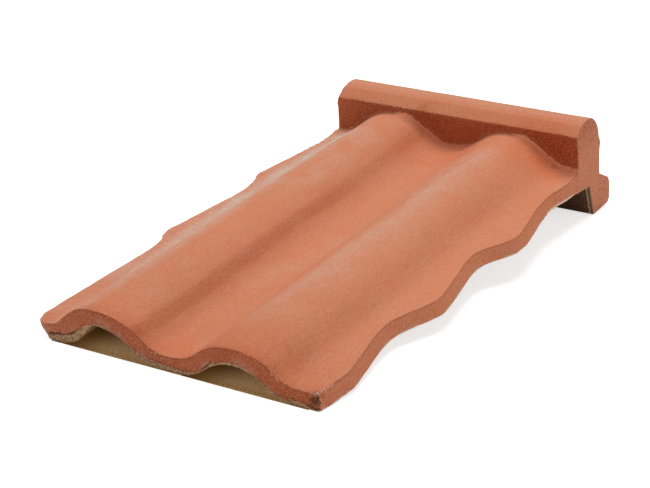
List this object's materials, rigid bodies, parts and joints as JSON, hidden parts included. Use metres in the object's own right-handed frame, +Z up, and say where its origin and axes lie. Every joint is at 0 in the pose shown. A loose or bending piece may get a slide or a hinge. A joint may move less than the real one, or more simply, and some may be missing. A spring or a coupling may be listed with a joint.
{
  "type": "clay roof tile",
  "caption": "Fired clay roof tile: a waved sheet of two rolls with wavy long edges, a round-topped bar across the head and a full-width hanging nib.",
  "frame": {"origin": "centre of the bounding box at floor level, the tile lying as it rests: on its eaves edge and its nib", "axes": "+X across the tile, +Y from the eaves edge up to the head bar, +Z up"},
  "size_m": [0.235, 0.4638, 0.0849],
  "materials": {
    "fired_clay": "matt, worn engobe"
  },
  "bodies": {
    "root": {"roof_tile": "fired_clay"}
  },
  "joints": []
}
